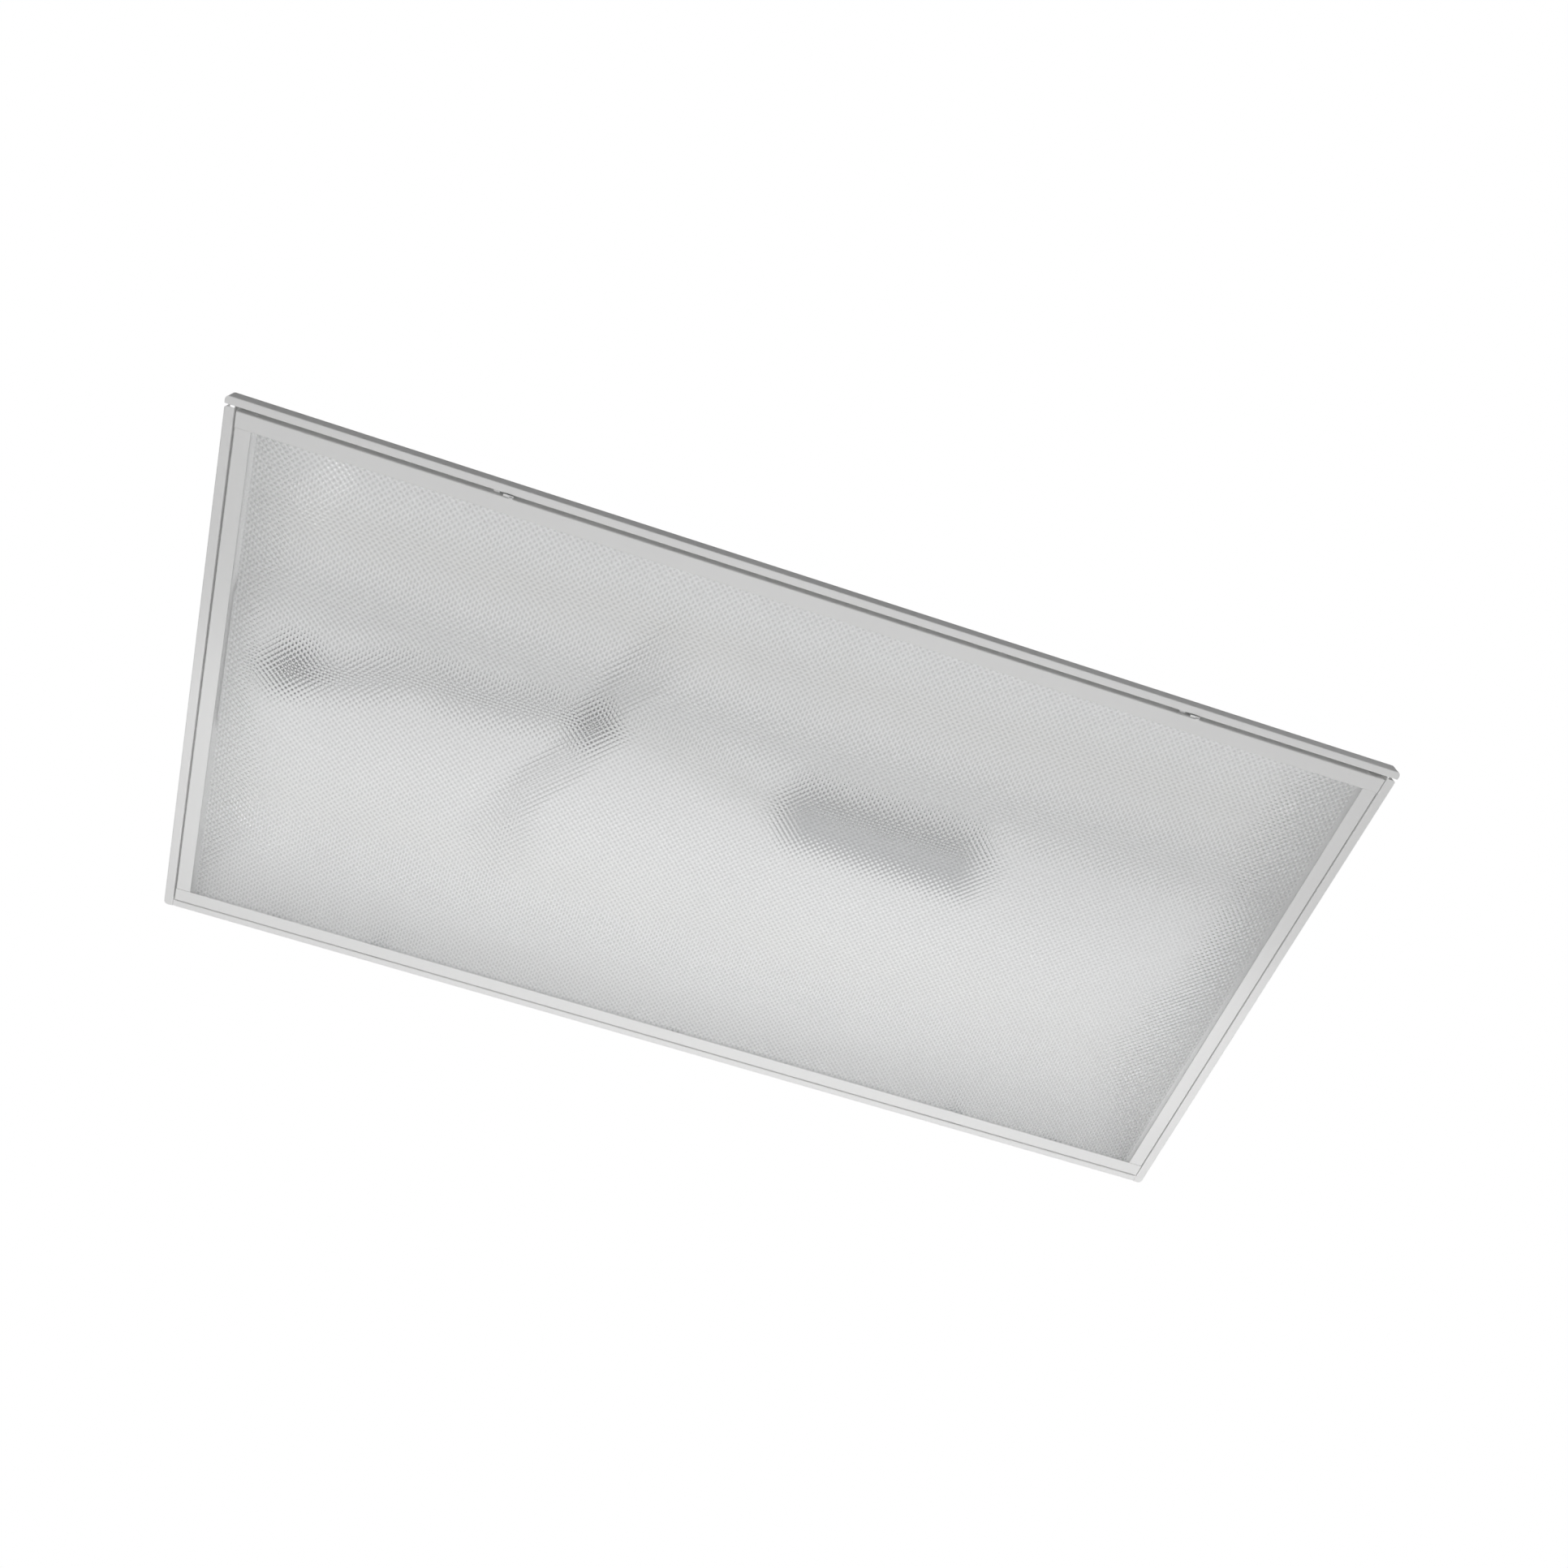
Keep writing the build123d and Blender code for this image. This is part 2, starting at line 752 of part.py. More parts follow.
def saddle(x, y):
    """Clip that holds the supply lead against the cover."""
    half_y = supply_radius + saddle_wall
    low = (x - saddle_length / 2, y - half_y, supply_z - supply_radius - saddle_wall)
    solid = block(low, (x + saddle_length / 2, y + half_y, channel_base_z))
    bore = supply_radius + saddle_clearance
    return solid - rod((low[0] - clear, y, supply_z), (1, 0, 0), saddle_length + 2 * clear, bore)


supply_z = channel_base_z - supply_radius - supply_gap
plug_face_x = plug_x + plug_length / 2
splice_left_x = splice_x - splice_length / 2
splice_right_x = splice_x + splice_length / 2
splice_near_y = splice_y - splice_width / 2
splice_far_y = splice_y + splice_width / 2
board_inner_y = board_y - board_width / 2
lead_z = channel_base_z - led_lead_radius - led_lead_gap
driver_lead_z = channel_base_z - driver_lead_radius - driver_lead_gap

supply_points = between(
    (plug_face_x, plug_y, supply_z),
    (splice_left_x, splice_y, supply_z),
    (0.08, 0, 0),
    (0.19, 0.27, 0),
    (0.32, 0.74, 0),
    (0.485, 0.8, 0),
    (0.62, 0.675, 0),
    (0.77, 0.93, 0),
    (0.875, 1, 0),
)
near_points = between(
    (splice_x, splice_near_y, lead_z),
    (near_feed_x, -board_inner_y, lead_entry_z),
    (0, 0.12, 0),
    (0.14, 0.26, 0.03),
    (0.41, 0.455, 0.45),
    (0.7, 0.66, 0.83),
    (1, 0.83, 1),
)
far_points = between(
    (splice_x - far_lead_offset, splice_far_y, lead_z),
    (far_feed_x, board_inner_y, lead_entry_z),
    (0, 0.085, 0),
    (0.18, 0.205, 0),
    (0.48, 0.325, 0),
    (0.76, 0.445, -0.05),
    (0.9, 0.57, -0.1),
    (0.96, 0.68, 0.24),
    (1.01, 0.79, 0.69),
    (1, 0.9, 1),
)
driver_points = between(
    (splice_right_x, splice_y, driver_lead_z),
    (terminal_x, driver_y, bushing_z),
    (0.13, 0, 0),
    (0.31, 0.13, 0),
    (0.48, 0.4, 0),
    (0.635, 0.7, 0.22),
    (0.77, 0.93, 0.72),
    (0.88, 1, 1),
)

save("supply_disconnect", supply_disconnect())
save("lead_splice", block(
    (splice_left_x, splice_near_y, channel_base_z - splice_height),
    (splice_right_x, splice_far_y, channel_base_z),
))
save("supply_cable", tube("supply_cable", supply_points, supply_radius))
save("led_lead_near", tube("led_lead_near", near_points, led_lead_radius))
save("led_lead_far", tube("led_lead_far", far_points, led_lead_radius))
save("driver_lead", tube("driver_lead", driver_points, driver_lead_radius))
saddle_places = between(supply_points[0], supply_points[-1], (0.4, 0.77, 0), (0.94, 1, 0))[1:-1]
save("cable_clips", *[saddle(x, y) for x, y, _ in saddle_places])
save("ground_screw", rivet(
    (ground_x, ground_y, channel_base_z), (0, 0, 1), sheet + screw_point, screw_radius, ground_head_radius,
    ground_head,
))


# ---------------------------------------------------------------- hinges


def hinge_strap(x):
    """Strap from the far wall down to a knuckle that holds the hinge pin."""
    front_y = pivot_y + strap_sheet / 2
    shelf_z = rail_top_z + strap_clearance
    path = [(front_y, pivot_z), (front_y, shelf_z), (wall_y, shelf_z), (wall_y, shelf_z + strap_plate)]
    low = x - strap_width / 2
    high = x + strap_width / 2
    solid = along_x(folded_face(path, strap_sheet), low, high)
    solid += rod((low, pivot_y, pivot_z), (1, 0, 0), strap_width, knuckle_radius)
    bore = pin_radius + running_clearance
    solid -= rod((low - clear, pivot_y, pivot_z), (1, 0, 0), strap_width + 2 * clear, bore)
    for place in strap_rivet_places:
        solid -= hole(place, (0, -1, 0), rivet_radius + hole_clearance)
    return solid


def hinge_pin(x):
    """Pin through the knuckle and both ears, headed at each end."""
    reach = strap_width / 2 + ear_gap + ear_sheet + pin_end_play
    solid = rod((x - reach, pivot_y, pivot_z), (1, 0, 0), 2 * reach, pin_radius)
    for end in (-1, 1):
        solid += rod((x + end * reach, pivot_y, pivot_z), (end, 0, 0), pin_head, pin_head_radius)
    return solid


def hinge_ear(x):
    """Foot on the far rail with two ears that turn on the hinge pin."""
    inner = strap_width / 2 + ear_gap
    outer = inner + ear_sheet
    foot_y = pivot_y - foot_front
    foot_edge = door_y - sheet - bend_radius
    solid = block((x - foot_length / 2, foot_y, seat_z), (x + foot_length / 2, foot_edge, seat_z + ear_sheet))
    for end in (-1, 1):
        low = (x + end * inner, pivot_y - ear_back, seat_z)
        solid += block(low, (x + end * outer, pivot_y + ear_front, pivot_z + ear_wall))
    bore = pin_radius + running_clearance
    return solid - rod((x - outer - clear, pivot_y, pivot_z), (1, 0, 0), 2 * (outer + clear), bore)


for end in (-1, 1):
    save(f"hinge_strap_{ends[end]}", hinge_strap(end * hinge_x))
save("hinge_pins", *[hinge_pin(end * hinge_x) for end in (-1, 1)])
save("hinge_ears", *[hinge_ear(end * hinge_x) for end in (-1, 1)])
save("hinge_strap_rivets", *[
    rivet(place, (0, -1, 0), sheet + strap_sheet, rivet_radius, rivet_head_radius, rivet_head,
          rivet_head_radius)
    for place in strap_rivet_places
])


# ---------------------------------------------------------------- door

latch_places = (latch_left_x, latch_right_x)
key_rivet_z = seat_z + key_rivet_rise
key_rivet_places = []
for end in (-1, 1):
    for side in (-1, 1):
        long_x = end * (door_x - sheet - key_rivet_inset)
        key_rivet_places.append(((long_x, side * door_y, key_rivet_z), (0, -side, 0)))
        short_y = side * (door_y - sheet - key_rivet_inset)
        key_rivet_places.append(((end * door_x, short_y, key_rivet_z), (-end, 0, 0)))


def key_holes():
    """Holes through the legs and corner keys for their rivets."""
    radius = clip_rivet_radius + hole_clearance
    return [hole(place, direction, radius) for place, direction in key_rivet_places]


def door_rail_near():
    """Full-length rail on the latch side, an angle with a bent outer edge."""
    path = [(-door_y, rail_top_z), (-door_y, -door_drop), (-rail_inner_y, -door_drop)]
    solid = along_x(folded_face(path), -door_x, door_x)
    for cutter in key_holes():
        solid -= cutter
    for x in latch_places:
        solid -= hole((x, -door_y, latch_pivot_z), (0, 1, 0), pin_radius + hole_clearance)
    return solid


def door_rail_far():
    """Full-length rail on the hinge side, with its leg notched where a strap passes."""
    path = [(rail_inner_y, -door_drop), (door_y, -door_drop), (door_y, rail_top_z)]
    solid = along_x(folded_face(path), -door_x, door_x)
    for cutter in key_holes():
        solid -= cutter
    for end in (-1, 1):
        x = end * hinge_x
        reach = strap_width / 2 + swing_clearance
        low = (x - reach, pivot_y + ear_front, pivot_z - knuckle_radius - notch_gap)
        solid -= block(low, (x + reach, door_y + clear, rail_top_z + clear))
    return solid


def door_rail_left():
    """Short rail between the long rails, whose leg runs on over them to the corners."""
    path = [(-door_x, rail_top_z), (-door_x, -door_drop), (-rail_inner_x, -door_drop)]
    solid = along_y(folded_face(path), rail_close_gap - rail_inner_y, rail_inner_y - rail_joint_gap)
    leg_y = door_y - sheet
    solid += block((-door_x, -leg_y, seat_z + bend_radius), (-door_x + sheet, leg_y, rail_top_z))
    for cutter in key_holes():
        solid -= cutter
    return solid


def corner_key(end, side):
    """Angle inside one corner that joins the legs of two rails."""
    corner_x = door_x - sheet
    corner_y = door_y - sheet
    low = seat_z + bend_radius
    corner = (end * corner_x, side * corner_y, low + key_height)
    solid = block((end * (corner_x - key_arm), side * (corner_y - key_sheet), low), corner)
    solid += block((end * (corner_x - key_sheet), side * (corner_y - key_arm), low), corner)
    for cutter in key_holes():
        solid -= cutter
    return solid


def lens_clip(x, side):
    """Spring angle on a long rail's leg that presses the lens onto the rail."""
    top = seat_z + lens_thickness
    leg_y = door_y - sheet
    low_x = x - lens_clip_width / 2
    high_x = x + lens_clip_width / 2
    upper = top + lens_clip_height - sheet
    solid = block((low_x, side * (leg_y - sheet), top), (high_x, side * leg_y, upper))
    solid += block((low_x, side * (lens_y - lens_clip_reach), top), (high_x, side * leg_y, top + sheet))
    return solid


save("door_rail_near", door_rail_near())
save("door_rail_far", door_rail_far())
left_rail = door_rail_left()
save("door_rail_left", left_rail)
save("door_rail_right", mirror_x(left_rail))
save("door_corner_keys", *[corner_key(end, side) for end in (-1, 1) for side in (-1, 1)])
save("door_corner_rivets", *[
    rivet(place, direction, sheet + key_sheet, clip_rivet_radius, clip_rivet_head_radius, rivet_head,
          clip_rivet_head_radius)
    for place, direction in key_rivet_places
])
save("prismatic_lens", block((-lens_x, -lens_y, seat_z), (lens_x, lens_y, seat_z + lens_thickness)))
clip_stations = (-lens_clip_x, 0, lens_clip_x)
save("lens_clips", *[lens_clip(x, side) for x in clip_stations for side in (-1, 1)])


# ---------------------------------------------------------------- latches


def latch(x):
    """Latch in the gap beside the near rail. Its arm is level when latched, and raised at rest."""
    arm = Rectangle(latch_arm_length, latch_arm_width)
    arm = Pos(-latch_arm_length / 2, keeper_gap + latch_arm_width / 2) * arm
    plan = Circle(latch_disc_radius) + Rot(0, 0, -latch_swing) * arm
    plan += Pos(0, -latch_stem_length / 2) * Rectangle(latch_stem_width, latch_stem_length)
    pull = Rectangle(latch_pull_width, latch_pull_length)
    plan += Pos(latch_pull_offset, -latch_stem_length - latch_pull_length / 2) * pull
    low_y = -latch_face_y - latch_sheet
    solid = Pos(x, 0, latch_pivot_z) * along_y(plan, low_y, -latch_face_y)
    tab_z = latch_pivot_z - latch_stem_length
    tab_edge = -wall_y + latch_side_gap
    half = latch_tab_width / 2
    solid += block((x - half, tab_edge, tab_z), (x + half, -latch_face_y, tab_z + latch_sheet))
    bore = pin_radius + running_clearance
    return solid - rod((x, low_y - clear, latch_pivot_z), (0, 1, 0), latch_sheet + 2 * clear, bore)


def latch_rivet(x):
    """Rivet that the latch turns on, through the near rail's leg."""
    head_y = -latch_face_y - latch_sheet - latch_head_gap
    grip = latch_side_gap + latch_sheet + latch_head_gap + sheet
    place = (x, head_y, latch_pivot_z)
    return rivet(place, (0, 1, 0), grip, pin_radius, latch_head_radius, rivet_head, latch_head_radius)


def latch_keeper(x):
    """Angle on the near wall. The latched arm lies over its shelf."""
    shelf_top = latch_pivot_z
    low_x = x - keeper_inset - keeper_width
    high_x = x - keeper_inset
    solid = block((low_x, -wall_y, shelf_top - clip_sheet), (high_x, -latch_face_y, shelf_top))
    top = shelf_top - clip_sheet + keeper_height
    return solid + block((low_x, -wall_y, shelf_top - clip_sheet), (high_x, -wall_y + sheet, top))


save("latch_left", latch(latch_left_x))
save("latch_right", latch(latch_right_x))
save("latch_rivets", *[latch_rivet(x) for x in latch_places])
save("latch_keepers", *[latch_keeper(x) for x in latch_places])


# ---------------------------------------------------------------- hold-down clips

clip_plate_x = wall_x + sheet + clip_sheet
clip_pin_x = clip_plate_x + clip_barrel_gap + clip_barrel_radius
clip_ear_z = (clip_base_z - clip_ear_gap, clip_base_z + clip_height + clip_ear_gap)


def clip_bracket():
    """Bracket on the right-hand end plate's far half, with an ear above and below the clip."""
    low_y = clip_y - clip_bracket_width / 2
    high_y = clip_y + clip_bracket_width / 2
    low_z = clip_ear_z[0] - clip_sheet
    high_z = clip_ear_z[1] + clip_sheet
    outer_x = clip_pin_x + clip_barrel_radius + clip_ear_margin
    solid = block((clip_plate_x - clip_sheet, low_y, low_z), (clip_plate_x, high_y, high_z))
    for z in (low_z, clip_ear_z[1]):
        solid += block((clip_plate_x - clip_sheet, low_y, z), (outer_x, high_y, z + clip_sheet))
    bore = pin_radius + running_clearance
    solid -= rod((clip_pin_x, clip_y, low_z - clear), (0, 0, 1), high_z - low_z + 2 * clear, bore)
    for place in clip_rivet_places(1):
        solid -= hole(place, (-1, 0, 0), clip_rivet_radius + hole_clearance)
    return solid


def clip_pin():
    """Upright pin through both ears and the clip's barrel."""
    low_z = clip_ear_z[0] - clip_sheet
    high_z = clip_ear_z[1] + clip_sheet
    solid = rod((clip_pin_x, clip_y, low_z), (0, 0, 1), high_z - low_z, pin_radius)
    solid += rod((clip_pin_x, clip_y, low_z), (0, 0, -1), pin_head, pin_head_radius)
    return solid + rod((clip_pin_x, clip_y, high_z), (0, 0, 1), pin_head, pin_head_radius)


def grid_clip():
    """Clip folded flat along the end plate. Its hook drops behind the grid tee's bead when it is out."""
    leaf_x = clip_pin_x - clip_barrel_radius
    end_y = clip_y - clip_leaf_length
    top = clip_base_z + clip_height
    solid = rod((clip_pin_x, clip_y, clip_base_z), (0, 0, 1), clip_height, clip_barrel_radius)
    solid += block((leaf_x, end_y, clip_base_z), (leaf_x + clip_sheet, clip_y, top))
    hook_low = (leaf_x, end_y, clip_base_z - clip_hook_drop)
    solid += block(hook_low, (leaf_x + clip_sheet, end_y + clip_hook_width, clip_base_z))
    bore = pin_radius + running_clearance
    return solid - rod((clip_pin_x, clip_y, clip_base_z - clear), (0, 0, 1), clip_height + 2 * clear, bore)


def at_corners(solid):
    """The same piece at each corner of the light, by end and side."""
    far = {1: solid, -1: mirror_x(solid)}
    return {(end, side): far[end] if side > 0 else mirror_y(far[end]) for end, side in board_ends}


for (end, side), solid in at_corners(grid_clip()).items():
    save(f"grid_clip_{sides[side]}_{ends[end]}", solid)
save("grid_clip_brackets", *at_corners(clip_bracket()).values())
save("grid_clip_pins", *at_corners(clip_pin()).values())
save("grid_clip_rivets", *[
    rivet(place, (-end, 0, 0), clip_sheet + sheet, clip_rivet_radius, clip_rivet_head_radius, rivet_head,
          clip_rivet_head_radius)
    for end in (-1, 1)
    for place in clip_rivet_places(end)
])
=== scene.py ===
import json
import math

import bmesh
import bpy
import numpy as np
from mathutils import Matrix, Vector


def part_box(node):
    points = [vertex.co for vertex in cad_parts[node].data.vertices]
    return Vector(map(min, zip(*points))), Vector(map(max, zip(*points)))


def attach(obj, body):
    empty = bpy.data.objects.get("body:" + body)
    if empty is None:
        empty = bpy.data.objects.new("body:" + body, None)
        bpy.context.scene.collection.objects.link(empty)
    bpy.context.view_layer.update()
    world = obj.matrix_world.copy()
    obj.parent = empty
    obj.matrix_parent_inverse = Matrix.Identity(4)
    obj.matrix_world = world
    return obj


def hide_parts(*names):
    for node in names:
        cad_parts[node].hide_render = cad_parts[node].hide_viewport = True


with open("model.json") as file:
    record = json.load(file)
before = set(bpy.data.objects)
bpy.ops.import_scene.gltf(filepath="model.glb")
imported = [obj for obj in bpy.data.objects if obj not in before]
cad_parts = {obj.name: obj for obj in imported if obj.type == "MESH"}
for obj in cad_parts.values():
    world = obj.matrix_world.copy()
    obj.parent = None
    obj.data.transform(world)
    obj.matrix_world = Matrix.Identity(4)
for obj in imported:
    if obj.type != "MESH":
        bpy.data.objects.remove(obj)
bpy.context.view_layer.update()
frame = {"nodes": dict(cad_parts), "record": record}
nodes = frame["nodes"]

mm = 0.001
diagonal = math.sqrt(0.5)
lens_pitch = 4.76 * mm
lens_pit_depth = 1.3 * mm
lens_slope = 0.65
floor_level = -2.4
floor_reach = 40.0
sharp_angle = math.radians(32)


# ---------------------------------------------------------------- camera

camera_place = (-0.1506, -0.7167, -1.2245)
camera_right = Vector((0.9523, -0.2986, 0.0627))
camera_forward = Vector((0.0873, 0.4636, 0.8817)).normalized()

camera_data = bpy.data.cameras.new("camera")
camera = bpy.data.objects.new("camera", camera_data)
bpy.context.scene.collection.objects.link(camera)
camera_data.sensor_width = 36.0
camera_data.lens = 30.212
camera_data.shift_x = 0.02856
camera_data.shift_y = -0.00383
camera_data.clip_start = 0.01
camera_data.clip_end = 60.0
square_right = (camera_right - camera_forward * camera_right.dot(camera_forward)).normalized()
camera_up = square_right.cross(camera_forward)
camera_turn = Matrix((square_right, camera_up, -camera_forward)).transposed().to_4x4()
camera.matrix_world = Matrix.Translation(camera_place) @ camera_turn
bpy.context.scene.camera = camera


# ---------------------------------------------------------------- light, floor and background


def tree_of(owner):
    """Empty node tree of a material or world."""
    owner.use_nodes = True
    owner.node_tree.nodes.clear()
    return owner.node_tree


def area_lamp(name, place, target, size, power, spread=180):
    """Soft oblong lamp at a place, turned to a target. A grid may narrow its spread."""
    data = bpy.data.lights.new(name, "AREA")
    data.shape = "RECTANGLE"
    data.size, data.size_y = size
    data.energy = power
    data.spread = math.radians(spread)
    lamp = bpy.data.objects.new(name, data)
    bpy.context.scene.collection.objects.link(lamp)
    aim = (Vector(target) - Vector(place)).normalized()
    lamp.matrix_world = Matrix.Translation(place) @ aim.to_track_quat("-Z", "Y").to_matrix().to_4x4()
    lamp.visible_camera = False
    return lamp


area_lamp("key_below", (-0.05, 0.3, -2.2), (0, 0.1, 0), (3.2, 2.6), 33.8)
area_lamp("far_below", (0.5, 1.3, -1.1), (0.1, 0.2, 0), (2.2, 0.6), 5.0)
area_lamp("inner_fill", (0.14, -0.24, -0.28), (0.14, 0.27, 0.04), (1.7, 0.12), 0.34, 60)
area_lamp("fill_right", (1.9, -1.5, -0.6), (0.3, -0.2, 0), (1.0, 1.0), 2.5)
area_lamp("soft_above", (-0.5, 1.2, 2.9), (0, 0, 0), (2.4, 2.4), 62.0)
for name, side in (("end_left", -1), ("end_right", 1)):
    lamp = area_lamp(name, (side * 2.6, 0.7, 0.7), (side * 0.6, 0, 0.05), (1.4, 1.0), 8.0)
    lamp.visible_glossy = False


def white_background():
    """World that is white where it is seen, also by way of metal and glass, and dim as a light."""
    world = bpy.data.worlds.new("world")
    bpy.context.scene.world = world
    tree = tree_of(world)
    out = tree.nodes.new("ShaderNodeOutputWorld")
    background = tree.nodes.new("ShaderNodeBackground")
    path = tree.nodes.new("ShaderNodeLightPath")
    seen = tree.nodes.new("ShaderNodeMath")
    seen.operation = "MAXIMUM"
    seen_through = tree.nodes.new("ShaderNodeMath")
    seen_through.operation = "MAXIMUM"
    colour = tree.nodes.new("ShaderNodeMix")
    colour.data_type = "RGBA"
    colour.inputs["A"].default_value = (0.04, 0.04, 0.041, 1)
    colour.inputs["B"].default_value = (1, 1, 1, 1)
    tree.links.new(path.outputs["Is Camera Ray"], seen.inputs[0])
    tree.links.new(path.outputs["Is Glossy Ray"], seen.inputs[1])
    tree.links.new(seen.outputs[0], seen_through.inputs[0])
    tree.links.new(path.outputs["Is Transmission Ray"], seen_through.inputs[1])
    tree.links.new(seen_through.outputs[0], colour.inputs["Factor"])
    tree.links.new(colour.outputs["Result"], background.inputs["Color"])
    background.inputs["Strength"].default_value = 1.0
    tree.links.new(background.outputs[0], out.inputs["Surface"])


white_background()


# ---------------------------------------------------------------- materials


def shade(colour, share):
    """A share of a colour."""
    return tuple(c * share for c in colour)


class Finish:
    """A material with one Principled shader, and the textures that drive it."""

    def __init__(self, name, colour, roughness, metallic=0.0):
        self.material = bpy.data.materials.new(name)
        self.tree = tree_of(self.material)
        self.shader = self.node("ShaderNodeBsdfPrincipled")
        self.out = self.node("ShaderNodeOutputMaterial")
        self.link(self.shader.outputs[0], self.out.inputs["Surface"])
        self.shader.inputs["Base Color"].default_value = (*colour, 1)
        self.shader.inputs["Roughness"].default_value = roughness
        self.shader.inputs["Metallic"].default_value = metallic
        self.place = self.node("ShaderNodeTexCoord").outputs["Object"]
        self.height = None

    def node(self, kind):
        return self.tree.nodes.new(kind)

    def link(self, start, end):
        self.tree.links.new(start, end)

    def stretched(self, scale):
        """Object coordinates, scaled along each axis."""
        mapping = self.node("ShaderNodeMapping")
        mapping.inputs["Scale"].default_value = scale
        self.link(self.place, mapping.inputs["Vector"])
        return mapping.outputs["Vector"]

    def noise(self, scale, detail=2.0, roughness=0.5, stretch=(1, 1, 1)):
        """Noise of a scale in turns per metre."""
        texture = self.node("ShaderNodeTexNoise")
        texture.inputs["Scale"].default_value = scale
        texture.inputs["Detail"].default_value = detail
        texture.inputs["Roughness"].default_value = roughness
        self.link(self.stretched(stretch), texture.inputs["Vector"])
        return texture.outputs["Fac"]

    def cells(self, scale, output):
        """Voronoi cells of a scale in turns per metre."""
        texture = self.node("ShaderNodeTexVoronoi")
        texture.inputs["Scale"].default_value = scale
        self.link(self.place, texture.inputs["Vector"])
        return texture.outputs[output]

    def ramp(self, value, low, high, start=0.0, end=1.0):
        """Value mapped from the span low to high onto start to end."""
        span = self.node("ShaderNodeMapRange")
        span.inputs["From Min"].default_value = low
        span.inputs["From Max"].default_value = high
        span.inputs["To Min"].default_value = start
        span.inputs["To Max"].default_value = end
        self.link(value, span.inputs["Value"])
        return span.outputs["Result"]

    def math(self, operation, first, second=None):
        """Math of one or two values, either of which may be a number."""
        result = self.node("ShaderNodeMath")
        result.operation = operation
        for index, value in enumerate((first, second)):
            if value is None:
                continue
            if isinstance(value, (int, float)):
                result.inputs[index].default_value = value
            else:
                self.link(value, result.inputs[index])
        return result.outputs[0]

    def blend(self, factor, first, second):
        """Colour between two colours by a factor."""
        mix = self.node("ShaderNodeMix")
        mix.data_type = "RGBA"
        for socket, value in (("A", first), ("B", second)):
            if isinstance(value, tuple):
                mix.inputs[socket].default_value = (*value, 1)
            else:
                self.link(value, mix.inputs[socket])
        self.link(factor, mix.inputs["Factor"])
        return mix.outputs["Result"]

    def colour(self, value):
        self.link(value, self.shader.inputs["Base Color"])

    def rough(self, value):
        self.link(value, self.shader.inputs["Roughness"])

    def bump(self, height, distance, strength):
        """Relief of a depth in metres, added over any relief before it."""
        bump = self.node("ShaderNodeBump")
        bump.inputs["Distance"].default_value = distance
        bump.inputs["Strength"].default_value = strength
        self.link(height, bump.inputs["Height"])
        if self.height is not None:
            self.link(self.height, bump.inputs["Normal"])
        self.height = bump.outputs["Normal"]
        self.link(self.height, self.shader.inputs["Normal"])


def enamel(name, colour, roughness, dull=0.96):
    """Baked enamel on sheet metal: orange peel, faint cloudiness, and small scuffs that are duller."""
    finish = Finish(name, colour, roughness)
    cloud = finish.ramp(finish.noise(7.0, 3.0), 0.35, 0.65)
    scuff = finish.ramp(finish.noise(60.0, 5.0, 0.7, (1.0, 2.2, 1.0)), 0.62, 0.72)
    dusty = finish.blend(cloud, colour, shade(colour, 0.985))
    finish.colour(finish.blend(scuff, dusty, shade(colour, dull)))
    scuffed = finish.ramp(scuff, 0, 1, roughness, roughness + 0.14)
    clouded = finish.ramp(cloud, 0, 1, 0.0, 0.05)
    finish.rough(finish.math("ADD", scuffed, clouded))
    finish.shader.inputs["Specular IOR Level"].default_value = 0.36
    finish.bump(finish.noise(420.0, 1.5), 0.00003, 0.7)
    finish.bump(finish.noise(26.0, 2.0), 0.0003, 0.25)
    return finish.material


def plated(name, colour, roughness):
    """Zinc plating: small crystals of unlike brightness, with a fine grain."""
    finish = Finish(name, colour, roughness, 1.0)
    crystal = finish.ramp(finish.cells(320.0, "Color"), 0.1, 0.9)
    finish.colour(finish.blend(crystal, shade(colour, 0.82), colour))
    finish.rough(finish.ramp(finish.noise(190.0, 3.0), 0.3, 0.7, roughness - 0.08, roughness + 0.1))
    finish.bump(finish.noise(1400.0, 2.0, 0.6), 0.00001, 0.5)
    return finish.material


def brushed(name, colour, roughness, grain):
    """Rolled steel strip: fine lines along the grain, some darker and some rougher."""
    finish = Finish(name, colour, roughness, 1.0)
    lines = finish.noise(1.0, 4.0, 0.65, grain)
    finish.colour(finish.blend(finish.ramp(lines, 0.3, 0.7), shade(colour, 0.78), colour))
    finish.rough(finish.ramp(lines, 0.25, 0.75, roughness - 0.07, roughness + 0.12))
    finish.bump(lines, 0.000012, 0.6)
    return finish.material


def moulded(name, colour, roughness):
    """Moulded plastic: a fine spark-eroded texture and slight flow marks."""
    finish = Finish(name, colour, roughness)
    flow = finish.ramp(finish.noise(45.0, 3.0, 0.6, (1, 1, 0.4)), 0.35, 0.68)
    finish.colour(finish.blend(flow, colour, shade(colour, 0.9)))
    finish.rough(finish.ramp(flow, 0, 1, roughness, roughness + 0.1))
    finish.bump(finish.noise(900.0, 2.0, 0.7), 0.00003, 0.6)
    return finish.material


def sleeve(name, colour, roughness):
    """Extruded plastic sleeve: faint waviness, with paler and rougher handling marks."""
    finish = Finish(name, colour, roughness)
    mark = finish.ramp(finish.noise(150.0, 4.0, 0.7), 0.5, 0.75)
    finish.colour(finish.blend(mark, colour, tuple(min(1, c * 1.25 + 0.012) for c in colour)))
    finish.rough(finish.ramp(mark, 0, 1, roughness, roughness + 0.18))
    finish.bump(finish.noise(700.0, 2.0), 0.00004, 0.5)
    return finish.material


